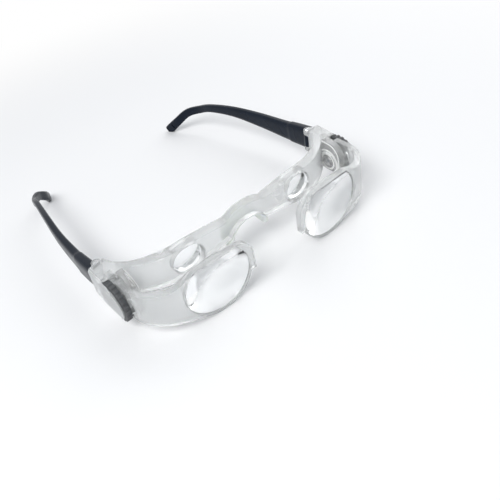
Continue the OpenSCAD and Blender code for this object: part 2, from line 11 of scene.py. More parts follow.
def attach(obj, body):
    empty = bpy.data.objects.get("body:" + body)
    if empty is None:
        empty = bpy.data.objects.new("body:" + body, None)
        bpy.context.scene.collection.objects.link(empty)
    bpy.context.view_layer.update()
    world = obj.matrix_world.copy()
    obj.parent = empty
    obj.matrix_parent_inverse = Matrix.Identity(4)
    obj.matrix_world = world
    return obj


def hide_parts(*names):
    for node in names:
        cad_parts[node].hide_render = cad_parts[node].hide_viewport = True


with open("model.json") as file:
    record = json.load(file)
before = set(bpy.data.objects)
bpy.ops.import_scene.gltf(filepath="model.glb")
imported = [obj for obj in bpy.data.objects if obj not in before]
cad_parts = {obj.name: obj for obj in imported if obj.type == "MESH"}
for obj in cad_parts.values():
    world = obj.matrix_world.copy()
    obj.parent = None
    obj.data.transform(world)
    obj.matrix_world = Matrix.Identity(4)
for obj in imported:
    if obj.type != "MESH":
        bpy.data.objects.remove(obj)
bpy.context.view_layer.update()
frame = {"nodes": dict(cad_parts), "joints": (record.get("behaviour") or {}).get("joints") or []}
nodes = frame["nodes"]
joints = {j["name"]: j for j in frame["joints"]}

# Rear frame
# One clear polycarbonate moulding with a satin skin: brow bar, bridge, nose arch and
# both ends with their hinge knuckles. It is the exact solid with its edges eased by a
# fraction of a millimetre, as the tool leaves them, so that they catch the light.

# the colour sockets of a Mix node
MIX_DARK, MIX_LIGHT, MIX_OUT = 6, 7, 2


def add_node(tree, kind, values=(), **settings):
    """A new node of a tree, with its settings and the values of its inputs."""
    node = tree.nodes.new(kind)
    for name, value in settings.items():
        setattr(node, name, value)
    for name, value in dict(values).items():
        node.inputs[name].default_value = value
    return node


def connect(tree, *pairs):
    """Links each pair of an output and an input."""
    for source, target in pairs:
        tree.links.new(source, target)


# every moulding shares this surface: broad faint clouds of gloss and shade, fine grain
grain = bpy.data.node_groups.new("Moulded grain", "ShaderNodeTree")
for name, kind, way in (
    ("Fine", "NodeSocketFloat", "INPUT"),
    ("Broad", "NodeSocketFloat", "INPUT"),
    ("Smooth", "NodeSocketFloat", "INPUT"),
    ("Rough", "NodeSocketFloat", "INPUT"),
    ("Light", "NodeSocketColor", "INPUT"),
    ("Dark", "NodeSocketColor", "INPUT"),
    ("Roughness", "NodeSocketFloat", "OUTPUT"),
    ("Height", "NodeSocketFloat", "OUTPUT"),
    ("Colour", "NodeSocketColor", "OUTPUT"),
):
    grain.interface.new_socket(name, in_out=way, socket_type=kind)
given = add_node(grain, "NodeGroupInput")
result = add_node(grain, "NodeGroupOutput")
place = add_node(grain, "ShaderNodeTexCoord")
fine_grain = add_node(grain, "ShaderNodeTexNoise", {"Detail": 2.0})
clouds = add_node(grain, "ShaderNodeTexNoise", {"Detail": 1.0})
gloss = add_node(grain, "ShaderNodeMapRange", {"From Min": 0.3, "From Max": 0.7})
shade = add_node(grain, "ShaderNodeMix", data_type="RGBA")
connect(
    grain,
    (place.outputs["Object"], fine_grain.inputs["Vector"]),
    (place.outputs["Object"], clouds.inputs["Vector"]),
    (given.outputs["Fine"], fine_grain.inputs["Scale"]),
    (given.outputs["Broad"], clouds.inputs["Scale"]),
    (clouds.outputs["Fac"], gloss.inputs["Value"]),
    (given.outputs["Smooth"], gloss.inputs["To Min"]),
    (given.outputs["Rough"], gloss.inputs["To Max"]),
    (gloss.outputs["Result"], result.inputs["Roughness"]),
    (fine_grain.outputs["Fac"], result.inputs["Height"]),
    (clouds.outputs["Fac"], shade.inputs["Factor"]),
    (given.outputs["Dark"], shade.inputs[MIX_DARK]),
    (given.outputs["Light"], shade.inputs[MIX_LIGHT]),
    (shade.outputs[MIX_OUT], result.inputs["Colour"]),
)


def new_material(name, **values):
    """A node material, its tree, and its Principled shader with the given values."""
    material = bpy.data.materials.new(name)
    material.use_nodes = True
    shader = material.node_tree.nodes["Principled BSDF"]
    for socket, value in values.items():
        shader.inputs[socket.replace("_", " ")].default_value = value
    return material, material.node_tree, shader


def moulded(name, light, dark, broad, smooth, rough, fine=0.0, height=0.0, **values):
    """A material with the grain group's clouds and gloss, and with its fine grain as
    bump where a height in metres is given."""
    material, tree, shader = new_material(name, **values)
    group = add_node(tree, "ShaderNodeGroup", node_tree=grain)
    for socket, value in (
        ("Fine", fine),
        ("Broad", broad),
        ("Smooth", smooth),
        ("Rough", rough),
        ("Light", (*light, 1.0)),
        ("Dark", (*dark, 1.0)),
    ):
        group.inputs[socket].default_value = value
    connect(
        tree,
        (group.outputs["Colour"], shader.inputs["Base Color"]),
        (group.outputs["Roughness"], shader.inputs["Roughness"]),
    )
    if height:
        bump = add_node(tree, "ShaderNodeBump", {"Strength": 0.4, "Distance": height})
        connect(
            tree,
            (group.outputs["Height"], bump.inputs["Height"]),
            (bump.outputs["Normal"], shader.inputs["Normal"]),
        )
    return material


PLASTIC_IOR = 1.49
clear_plastic = moulded(
    "Clear satin plastic",
    (0.925, 0.933, 0.933),
    (0.84, 0.858, 0.86),
    broad=35.0,
    smooth=0.22,
    rough=0.28,
    IOR=PLASTIC_IOR,
    Transmission_Weight=0.78,
)
frosted_plastic = moulded(
    "Frosted clear plastic",
    (0.80, 0.81, 0.815),
    (0.73, 0.748, 0.752),
    broad=60.0,
    smooth=0.28,
    rough=0.36,
    IOR=PLASTIC_IOR,
    Transmission_Weight=0.62,
)


def add_object(name, data):
    """A new object in the scene."""
    obj = bpy.data.objects.new(name, data)
    bpy.context.scene.collection.objects.link(obj)
    return obj


def settle(obj):
    """Applies an object's modifiers and gives back its plain mesh."""
    depsgraph = bpy.context.evaluated_depsgraph_get()
    shaped = obj.evaluated_get(depsgraph)
    mesh = bpy.data.meshes.new_from_object(shaped, depsgraph=depsgraph)
    bpy.data.objects.remove(obj)
    return mesh


def smooth_shade(mesh, angle):
    """Smooth normals, with sharp edges where faces meet at more than angle degrees."""
    mesh.polygons.foreach_set("use_smooth", [True] * len(mesh.polygons))
    mesh.set_sharp_from_angle(angle=math.radians(angle))


# A corner takes the normal of the CAD's surface where this is curved and runs the way
# of the corner's own face. It is looked up a little way in towards the face's middle.
LOOK_IN, CURVED_BELOW, SAME_WAY_ABOVE = 0.02, 0.9999, math.cos(math.radians(21))


def exact_normals(mesh, source):
    """Gives the faces that lie on the source's curved surfaces its own exact normals."""
    source.calc_loop_triangles()
    triangles = source.loop_triangles
    tree = BVHTree.FromPolygons(
        [v.co for v in source.vertices], [tuple(t.vertices) for t in triangles]
    )
    normals = [n.vector.copy() for n in mesh.corner_normals]
    for face in mesh.polygons:
        for corner in face.loop_indices:
            vertex = mesh.vertices[mesh.loops[corner].vertex_index]
            hit, _, index, _ = tree.find_nearest(vertex.co.lerp(face.center, LOOK_IN))
            points = [source.vertices[v].co for v in triangles[index].vertices]
            ends = [source.corner_normals[k].vector for k in triangles[index].loops]
            shares = poly_3d_calc(points, hit)
            exact = sum((e * share for e, share in zip(ends, shares)), Vector())
            exact.normalize()
            curved = min(ends[0].dot(ends[1]), ends[0].dot(ends[2])) < CURVED_BELOW
            if curved and exact.dot(face.normal) > SAME_WAY_ABOVE:
                normals[corner] = exact
    mesh.normals_split_custom_set(normals)


# points closer than this (in metres) are one, and faces within this angle are one flat
WELD, FLAT_WITHIN, SHARP_ABOVE = 3e-6, 0.05, 32


def eased_copy(node, edge, angle, raised=()):
    """The CAD solid as one joined mesh with what is raised on it, and its edges sharper
    than angle (degrees) rounded by edge (metres)."""
    mesh = nodes[node].data.copy()
    work = bmesh.new()
    work.from_mesh(mesh)
    bmesh.ops.remove_doubles(work, verts=work.verts, dist=WELD)
    flat = math.radians(FLAT_WITHIN)
    bmesh.ops.dissolve_limit(work, angle_limit=flat, verts=work.verts, edges=work.edges)
    work.to_mesh(mesh)
    work.free()
    blank = add_object(node, mesh)
    for obj in raised:
        union = blank.modifiers.new("Raised", "BOOLEAN")
        union.operation = "UNION"
        union.solver = "EXACT"
        union.object = obj
    bevel = blank.modifiers.new("Eased edges", "BEVEL")
    bevel.limit_method = "ANGLE"
    bevel.angle_limit = math.radians(angle)
    bevel.width = edge
    bevel.segments = 2
    bevel.use_clamp_overlap = False
    mesh = settle(blank)
    for obj in raised:
        bpy.data.objects.remove(obj)
    smooth_shade(mesh, SHARP_ABOVE)
    blank = add_object(node, mesh)
    blank.modifiers.new("Flat faces stay flat", "WEIGHTED_NORMAL").keep_sharp = True
    mesh = settle(blank)
    exact_normals(mesh, nodes[node].data)
    return mesh


def show(name, mesh, material, body, stands_for):
    """Makes the finished mesh a piece of the scene."""
    mesh.name = name
    mesh.materials.clear()
    mesh.materials.append(material)
    piece = add_object(name, mesh)
    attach(piece, body)
    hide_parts(*stands_for)
    return piece


rear_frame = show(
    "clear_rear_frame",
    eased_copy("rear_frame", edge=0.00018, angle=42),
    clear_plastic,
    "frame",
    ["rear_frame"],
)
# the outer walls, beside the wheels, are frosted
OUTER_WALL_X, FACES_OUT = 0.0705, 0.6
rear_frame.data.materials.append(frosted_plastic)
for face in rear_frame.data.polygons:
    if abs(face.center.x) > OUTER_WALL_X and abs(face.normal.x) > FACES_OUT:
        face.material_index = 1

# Bearing covers
# A polished clear plate inside each wheel, with a boss for the wheel's screw. Two low
# rings round the screw and a rim along the outline are moulded on. They are left satin and
# made milky, so that they read lighter than the plate: a painted highlight. The cover is
# snapped into the end of the rear frame.

# The glasses lean forward on the rims of the front lenses and on the temple tips.
# Pieces are drawn in millimetres in their own frame (x to the wearer's left, y back
# from the hinges, z up) and set down with this turn and shift, read off two joints.
MM = 0.001
AXLE_Y, AXLE_Z = -19.0, -2.6

slide_way = Vector(joints["carrier_slide_left"]["axis"])
axle_at = Vector(joints["wheel_turn_left"]["pos_m"])
lean = Matrix(
    (
        (1, 0, 0, 0),
        (0, -slide_way.y, slide_way.z, 0),
        (0, -slide_way.z, -slide_way.y, 0),
        (0, 0, 0, 1),
    )
)
shift = axle_at - lean @ Vector((axle_at.x, AXLE_Y * MM, AXLE_Z * MM))
stand = Matrix.Translation(shift) @ lean
sides = {"left": 1, "right": -1}


def set_down(mesh, side=1):
    """Takes a mesh from millimetres on the wearer's left to its place in the scene."""
    mesh.transform(stand @ Matrix.Diagonal((side * MM, MM, MM, 1)))
    if side < 0:
        mesh.flip_normals()


def turns(count):
    """Even angles once round, the first one half a step on."""
    return [2 * math.pi * (i + 0.5) / count for i in range(count)]


def skin(work, rows, closed=False):
    """Faces between rows of points, each row a closed ring; gives their vertices."""
    made = [[work.verts.new(point) for point in row] for row in rows]
    for one, two in zip(made, made[1:] + made[:1] if closed else made[1:]):
        for i in range(len(one)):
            j = (i + 1) % len(one)
            work.faces.new((one[i], one[j], two[j], two[i]))
    return made


def finished(work, name):
    """The worked shape as a mesh."""
    mesh = bpy.data.meshes.new(name)
    work.to_mesh(mesh)
    work.free()
    return mesh


cover_plastic = moulded(
    "Polished cover plastic",
    (0.96, 0.965, 0.96),
    (0.90, 0.91, 0.905),
    broad=80.0,
    smooth=0.04,
    rough=0.08,
    IOR=PLASTIC_IOR,
    Transmission_Weight=0.8,
)
# the rings and rim: satin, and far less clear than the plate, so they show lighter as a painted
# highlight
highlit_rings = moulded(
    "Cover rings painted lighter as highlight",
    (0.95, 0.955, 0.95),
    (0.90, 0.91, 0.905),
    broad=80.0,
    smooth=0.2,
    rough=0.3,
    IOR=PLASTIC_IOR,
    Transmission_Weight=0.2,
)
COVER_IN_X = 62.15
COVER_FRONT, COVER_REAR, COVER_LOW, COVER_TOP = -27.3, -15.2, -7.7, 9.0
# radius, width and height of each ring; the corner and the place, width and height of
# the rim; how deep the ridges' feet sit in the plate, and how far the rim is drawn past
# the cover's ends before it is cut off
COVER_RINGS = ((4.4, 0.9, 0.45), (6.65, 0.9, 0.4))
COVER_CORNER_R, RIM_INSET, RIM_WIDE, RIM_HIGH = 7.7, 0.5, 0.8, 0.35
RIDGE_SUNK, OVER = 0.5, 1.0
# what stands higher than this on the plate, outside the boss, is satin and milky, painted
# lighter as a highlight
HIGHLIT_FROM_R, HIGHLIT_ABOVE = 3.8, 0.03


def arc(y, z, r, ways):
    """Stations of an arc: each a place (y, z) and the way outwards there."""
    return [
        (y + r * math.cos(a), z + r * math.sin(a), math.cos(a), math.sin(a)) for a in ways
    ]


def along_the_rim():
    """Stations up the front of the cover, round its corner and back along its top."""
    y, z = COVER_FRONT + COVER_CORNER_R, COVER_TOP - COVER_CORNER_R
    r = COVER_CORNER_R - RIM_INSET
    corner = arc(y, z, r, [math.pi - math.pi / 2 * i / 24 for i in range(25)])
    return [(y - r, COVER_LOW - OVER, -1, 0), *corner, (COVER_REAR + OVER, z + r, 0, 1)]


def ridge(stations, wide, high, closed, side):
    """A low ridge on the cover's nose side through the stations, cut off at its edges."""
    half = wide / 2
    profile = [(RIDGE_SUNK, half), (-high, half), (-high, -half), (RIDGE_SUNK, -half)]
    work = bmesh.new()
    skin(
        work,
        [
            [(COVER_IN_X + x, y + out_y * r, z + out_z * r) for x, r in profile]
            for y, z, out_y, out_z in stations
        ],
        closed,
    )
    bmesh.ops.recalc_face_normals(work, faces=work.faces)
    for way, limit in (
        ((0, 1, 0), COVER_REAR),
        ((0, -1, 0), -COVER_FRONT),
        ((0, 0, 1), COVER_TOP),
        ((0, 0, -1), -COVER_LOW),
    ):
        cut = bmesh.ops.bisect_plane(
            work,
            geom=work.verts[:] + work.edges[:] + work.faces[:],
            dist=1e-4,
            plane_co=Vector(way) * limit,
            plane_no=way,
            clear_outer=True,
        )
        open_edges = [e for e in cut["geom_cut"] if isinstance(e, bmesh.types.BMEdge)]
        bmesh.ops.holes_fill(work, edges=open_edges, sides=0)
    mesh = finished(work, "cover ridge")
    set_down(mesh, side)
    return add_object("cover ridge", mesh)


def cover_ridges(side):
    """The rings round the screw, and the rim."""
    made = [
        ridge(arc(AXLE_Y, AXLE_Z, radius, turns(96)), wide, high, True, side)
        for radius, wide, high in COVER_RINGS
    ]
    made.append(ridge(along_the_rim(), RIM_WIDE, RIM_HIGH, False, side))
    return made


for side_name, side in sides.items():
    node = "bearing_cover_" + side_name
    cover = show(
        "clear_" + node,
        eased_copy(node, edge=0.00012, angle=42, raised=cover_ridges(side)),
        cover_plastic,
        "frame",
        [node],
    )
    # the rings and rim take the milky material, which paints a highlight on them
    cover.data.materials.append(highlit_rings)
    for face in cover.data.polygons:
        off_axle = math.hypot(face.center.y - axle_at.y, face.center.z - axle_at.z)
        above_plate = abs(face.center.x) < (COVER_IN_X - HIGHLIT_ABOVE) * MM
        if above_plate and off_axle > HIGHLIT_FROM_R * MM:
            face.material_index = 1

# Lens carriers
# One clear moulding on each side: a face that holds the front lens, a round corner and
# an arm that slides between bearing cover and wheel.

for side_name in sides:
    node = "lens_carrier_" + side_name
    show(
        "clear_" + node,
        eased_copy(node, edge=0.00022, angle=42),
        clear_plastic,
        "carrier_" + side_name,
        [node],
    )

# Front lenses
# Large positive lenses, ground, polished and coated, round with the top cut flat. Each
# is made of rings that follow its outline, with the real curves on both faces and a
# fine ground chamfer, and is cemented into its carrier.

lens_glass, tree, shader = new_material(
    "Coated lens",
    Base_Color=(0.965, 0.978, 0.985, 1.0),
    IOR=1.52,
    Transmission_Weight=1.0,
)
place = add_node(tree, "ShaderNodeTexCoord")
wipe = add_node(tree, "ShaderNodeTexNoise", {"Scale": 90.0, "Detail": 5.0})
gloss = add_node(tree, "ShaderNodeMapRange", {"To Min": 0.0, "To Max": 0.03})
connect(
    tree,
    (place.outputs["Object"], wipe.inputs["Vector"]),
    (wipe.outputs["Fac"], gloss.inputs["Value"]),
    (gloss.outputs["Result"], shader.inputs["Roughness"]),
)

LENS_CHAMFER, CHAMFER_FROM, LENS_SHARP_ABOVE = 0.25, 0.988, 30


def ball_radius(r, sag):
    """Radius of the ball whose cap of radius r is sag high."""
    return (r * r + sag * sag) / (2 * sag)


def closed_skin(rows, name, first=None, last=None):
    """A mesh over rows of points, each end closed by a fan to a point, or else to the
    middle of its row."""
    work = bmesh.new()
    made = skin(work, rows)
    for row, point in ((made[0], first), (made[-1], last)):
        tip = work.verts.new(point or sum((v.co for v in row), Vector()) / len(row))
        for i in range(len(row)):
            work.faces.new((tip, row[i], row[(i + 1) % len(row)]))
    bmesh.ops.recalc_face_normals(work, faces=work.faces)
    return finished(work, name)


def lens_mesh(outline, front_depth, rear_depth, where, rings):
    """A lens from its outline; front_depth and rear_depth give the depth at a radius,
    and where turns (across, up, depth) into a point of the glasses."""

    def face_rings(depth, chamfer):
        shares = [k / rings for k in range(1, rings)] + [CHAMFER_FROM]
        rows = [
            [where(u * s, v * s, depth(math.hypot(u * s, v * s))) for u, v in outline]
            for s in shares
        ]
        rows.append([where(u, v, depth(math.hypot(u, v)) + chamfer) for u, v in outline])
        return rows

    front = face_rings(front_depth, LENS_CHAMFER)
    rear = face_rings(rear_depth, -LENS_CHAMFER)
    poles = [where(0, 0, depth(0)) for depth in (front_depth, rear_depth)]
    return closed_skin(front + rear[::-1], "lens", *poles)


LENS_X, FRONT_R, FRONT_FLAT, FRONT_Z = 34.2, 17.3, 13.1, 2.4
# the rim's depth in the carrier, its thickness, and how far both faces bulge
FRONT_INSET, FRONT_EDGE, FRONT_SAG, REAR_SAG = 1.2, 1.5, 2.2, 4.2
# the carrier's face wraps back by this angle and runs into a round corner; its plane
# is set out from a point near the nose, PLATE_X and PLATE_Y
WRAP, CORNER_R, ARM_OUT_X, PLATE_X, PLATE_Y = math.radians(2.5), 22.0, 69.25, 14.2, -49.9
CORNER_X = ARM_OUT_X - CORNER_R
PLATE_END_X = CORNER_X + CORNER_R * math.sin(WRAP)
CORNER_Y = (
    PLATE_Y + CORNER_R * math.cos(WRAP) + (PLATE_END_X - PLATE_X) * math.tan(WRAP)
)
ALONG = (LENS_X - PLATE_END_X) / math.cos(WRAP)


def on_plate(u, v, depth):
    """A point of the lens as it stands in the wrapped face of its carrier."""
    x, y = ALONG + u, depth - CORNER_R
    return (
        CORNER_X + x * math.cos(WRAP) - y * math.sin(WRAP),
        CORNER_Y + x * math.sin(WRAP) + y * math.cos(WRAP),
        FRONT_Z + v,
    )


def front_outline():
    """A circle whose top is cut flat, with even steps round it."""
    points = []
    for a in turns(180):
        r = FRONT_R
        if math.sin(a) > 0:
            r = min(r, FRONT_FLAT / math.sin(a))
        points.append((r * math.cos(a), r * math.sin(a)))
    return points


front_ball = ball_radius(FRONT_R, FRONT_SAG)
rear_ball = ball_radius(FRONT_R, REAR_SAG)
front_top = FRONT_INSET - FRONT_SAG + front_ball
rear_top = FRONT_INSET + FRONT_EDGE + REAR_SAG - rear_ball

for side_name, side in sides.items():
    mesh = lens_mesh(
        front_outline(),
        lambda r: front_top - math.sqrt(front_ball**2 - r * r),
        lambda r: rear_top + math.sqrt(rear_ball**2 - r * r),
        on_plate,
        rings=26,
    )
    set_down(mesh, side)
    smooth_shade(mesh, LENS_SHARP_ABOVE)
    show(
        "front_lens_" + side_name,
        mesh,
        lens_glass,
        "carrier_" + side_name,
        ["objective_lens_" + side_name],
    )

# Eye lenses
# Small oval negative lenses of the same glass, hollow on both faces, cemented into the
# brow bar.

EYE_W, EYE_H, EYE_Z, EYE_Y, EYE_EDGE = 16.0, 13.8, 1.0, -24.4, 3.4
EYE_FRONT_HOLLOW, EYE_REAR_HOLLOW = 0.5, 1.5


def eye_outline():
    """Two half circles joined by short straights."""
    points = []
    for a in turns(144):
        middle = math.copysign((EYE_W - EYE_H) / 2, math.cos(a))
        points.append((middle + EYE_H / 2 * math.cos(a), EYE_H / 2 * math.sin(a)))
    return points


eye_front_ball = ball_radius(EYE_W / 2, EYE_FRONT_HOLLOW)
eye_rear_ball = ball_radius(EYE_W / 2, EYE_REAR_HOLLOW)
eye_front_top = EYE_Y + EYE_FRONT_HOLLOW - eye_front_ball
eye_rear_top = EYE_Y + EYE_EDGE - EYE_REAR_HOLLOW + eye_rear_ball

for side_name, side in sides.items():
    mesh = lens_mesh(
        eye_outline(),
        lambda r: eye_front_top + math.sqrt(eye_front_ball**2 - r * r),
        lambda r: eye_rear_top - math.sqrt(eye_rear_ball**2 - r * r),
        lambda u, v, depth: (LENS_X + u, depth, EYE_Z + v),
        rings=16,
    )
    set_down(mesh, side)
    smooth_shade(mesh, LENS_SHARP_ABOVE)
    show(
        "eye_lens_" + side_name,
        mesh,
        lens_glass,
        "frame",
        ["eyepiece_lens_" + side_name],
    )

# Soft nose saddle
# A milky silicone pad pushed onto the nose arch: thin in front over the top, drawn out
# into a full rounded lobe down each side of the nose. It is swept round the arch in one
# skin.

silicone, tree, shader = new_material(
    "Milky silicone",
    Base_Color=(0.71, 0.745, 0.72, 1.0),
    Subsurface_Weight=0.5,
    Subsurface_Radius=(0.004, 0.004, 0.003),
    Subsurface_Scale=1.0,
    IOR=1.41,
)
place = add_node(tree, "ShaderNodeTexCoord")
dust = add_node(tree, "ShaderNodeTexNoise", {"Scale": 220.0, "Detail": 6.0})
gloss = add_node(tree, "ShaderNodeMapRange", {"To Min": 0.38, "To Max": 0.62})
grip = add_node(tree, "ShaderNodeBump", {"Strength": 0.25, "Distance": 0.00005})
connect(
    tree,
    (place.outputs["Object"], dust.inputs["Vector"]),
    (dust.outputs["Fac"], gloss.inputs["Value"]),
    (gloss.outputs["Result"], shader.inputs["Roughness"]),
    (dust.outputs["Fac"], grip.inputs["Height"]),
    (grip.outputs["Normal"], shader.inputs["Normal"]),
)

ARCH_R, ARCH_Z, PAD_T, PAD_LOW = 12.95, -7.9, 2.95, -7.15
# height, front and rear of the pad, from the top of the arch down
PAD_SIDE = [
    (8.0, -28.6, -16.4),
    (0.0, -28.6, -15.4),
    (-2.4, -28.4, -16.2),
    (-4.6, -27.95, -17.3),
    (-6.2, -26.9, -19.4),
    (-7.0, -25.8, -21.2),
]
# the last stretch (in radians) that rounds off, and what is left at the very end of the
# pad's size and of its thickness
PAD_ROUND, PAD_BLUNT, PAD_END_T = 0.16, 0.02, 0.35
# share of the thickness in the front lip, where along the arch it starts to grow and
# over how much it does, and how far back the pad is full
PAD_LIP, LIP_FROM, LIP_OVER, FULL_BY = 0.25, 0.4, 0.4, 0.6


def clamp(t):
    return max(0.0, min(1.0, t))


def rounded(a, b, t, power=0.5):
    """A point of a rounded rectangle of half sizes a and b."""
    c, s = math.cos(t), math.sin(t)
    return a * math.copysign(abs(c) ** power, c), b * math.copysign(abs(s) ** power, s)


def pad_depths(z):
    """Front and rear of the pad at height z."""
    for (z1, f1, r1), (z0, f0, r0) in zip(PAD_SIDE[:-1], PAD_SIDE[1:]):
        if z >= z0:
            s = (z - z0) / (z1 - z0)
            return f0 + (f1 - f0) * s, r0 + (r1 - r0) * s
    return PAD_SIDE[-1][1:]


def pad_mesh(steps=96, corners=48):
    """The pad as rows across the arch, closer together towards its two ends."""
    reach = math.acos((PAD_LOW - ARCH_Z) / ARCH_R)
    rows = []
    for k in range(steps + 1):
        a = reach * math.sin((-1 + 2 * k / steps) * math.pi / 2)
        front, rear = pad_depths(ARCH_Z + ARCH_R * math.cos(a))
        end = min(1.0, (reach - abs(a)) / PAD_ROUND)
        size = PAD_BLUNT + (1 - PAD_BLUNT) * math.sqrt(max(0.0, 1 - (1 - end) ** 2))
        half_y = (rear - front) / 2 * size
        half_t = PAD_T / 2 * (PAD_END_T + (1 - PAD_END_T) * size)
        lip = PAD_LIP + (1 - PAD_LIP) * clamp((abs(a) / reach - LIP_FROM) / LIP_OVER)
        row = []
        for t in turns(corners):
            p, q = rounded(half_y, half_t, t)
            back = (p / half_y + 1) / 2
            full = lip + (1 - lip) * math.sin(math.pi / 2 * min(1.0, back / FULL_BY))
            r = ARCH_R - (PAD_T / 2 - q) * full
            y = (front + rear) / 2 + p
            row.append((r * math.sin(a), y, ARCH_Z + r * math.cos(a)))
        rows.append(row)
    return closed_skin(rows, "pad")


mesh = pad_mesh()
set_down(mesh)
smooth_shade(mesh, angle=60)
show("soft_nose_saddle", mesh, silicone, "frame", ["nose_saddle"])

# Focus wheels
# Moulded dark grey plastic: a hub, a disc with the spiral groove that the carrier's
# pin runs in, and coarse rounded ribs for the finger. The ribs are one shape set
# round the disc by Geometry Nodes.

wheel_plastic = moulded(
    "Dark wheel plastic",
    (0.066, 0.07, 0.074),
    (0.048, 0.05, 0.054),
    broad=120.0,
    smooth=0.38,
    rough=0.56,
    fine=3200.0,
    height=0.00001,
    IOR=1.5,
)

WHEEL_IN, WHEEL_OUT, HUB_IN, HUB_R, BORE_R = 69.6, 72.4, 66.0, 2.6, 1.05
RIB_ROOT_R, RIBS = 9.9, 22
DISH_IN_R, DISH_OUT_R, DISH_DEPTH = 3.2, 8.4, 0.3
# the groove moves inwards by GROOVE_RATE a degree, and ends before it meets itself
GROOVE_MID_R, GROOVE_W, GROOVE_DEPTH = 6.9, 1.4, 1.1
GROOVE_RATE, GROOVE_END = 2 / 150, 166.0


def wheel_profile(mid, cut):
    """From the bore along hub, inner face, rim and dished outer face: (x, radius)."""
    half = GROOVE_W / 2
    lip = min(0.08, cut)
    return [
        (HUB_IN, BORE_R),
        (HUB_IN, HUB_R - 0.2),
        (HUB_IN + 0.06, HUB_R - 0.06),
        (HUB_IN + 0.2, HUB_R),
        (WHEEL_IN - 0.15, HUB_R),
        (WHEEL_IN - 0.04, HUB_R + 0.05),
        (WHEEL_IN, HUB_R + 0.2),
        (WHEEL_IN, HUB_R + 1.0),
        (WHEEL_IN, mid - half - 0.1),
        (WHEEL_IN + lip, mid - half),
        (WHEEL_IN + cut * 0.9, mid - half + 0.02),
        (WHEEL_IN + cut, mid - half + 0.15),
        (WHEEL_IN + cut, mid + half - 0.15),
        (WHEEL_IN + cut * 0.9, mid + half - 0.02),
        (WHEEL_IN + lip, mid + half),
        (WHEEL_IN, mid + half + 0.1),
        (WHEEL_IN, RIB_ROOT_R - 0.25),
        (WHEEL_IN + 0.08, RIB_ROOT_R - 0.08),
        (WHEEL_IN + 0.25, RIB_ROOT_R),
        (WHEEL_OUT - 0.25, RIB_ROOT_R),
        (WHEEL_OUT - 0.08, RIB_ROOT_R - 0.08),
        (WHEEL_OUT, RIB_ROOT_R - 0.25),
        (WHEEL_OUT, DISH_OUT_R + 0.3),
        (WHEEL_OUT - DISH_DEPTH, DISH_OUT_R),
        (WHEEL_OUT - DISH_DEPTH, DISH_IN_R),
        (WHEEL_OUT, DISH_IN_R - 0.3),
        (WHEEL_OUT, BORE_R),
    ]


def wheel_body(count=240):
    """Profiles set round the axle; their inner face follows the spiral."""
    rows = []
    for i in range(count):
        degrees = 360 * i / count
        turned = degrees - 180 if degrees > 0 else 180.0
        mid = GROOVE_MID_R - GROOVE_RATE * max(-GROOVE_END, min(GROOVE_END, turned))
        cut = GROOVE_DEPTH if abs(turned) < GROOVE_END else 0.0
        a = math.radians(degrees)
        rows.append([
            (x, AXLE_Y + r * math.cos(a), AXLE_Z + r * math.sin(a))
            for x, r in wheel_profile(mid, cut)
        ])
    work = bmesh.new()
    skin(work, rows, closed=True)
    bmesh.ops.recalc_face_normals(work, faces=work.faces)
    return finished(work, "wheel body")


def rib_mesh():
    """One rounded rib along the axle, its root sunk a little into the disc."""
    # (width, height) over the root, round the rib
    outline = [
        (-0.88, -0.35), (-0.86, 0.02), (-0.74, 0.3), (-0.52, 0.52), (-0.26, 0.59),
        (0.26, 0.59), (0.52, 0.52), (0.74, 0.3), (0.86, 0.02), (0.88, -0.35),
    ]
    # distance from the rib's nearer end, and its size there
    ends = ((0.02, 0.72), (0.1, 0.9), (0.28, 1.0))
    slices = [(WHEEL_IN + x, size) for x, size in ends]
    slices += [(WHEEL_OUT - x, size) for x, size in reversed(ends)]
    rows = [
        [(x, RIB_ROOT_R + (h * size if h > 0 else h), w * size) for w, h in outline]
        for x, size in slices
    ]
    return closed_skin(rows, "wheel rib")


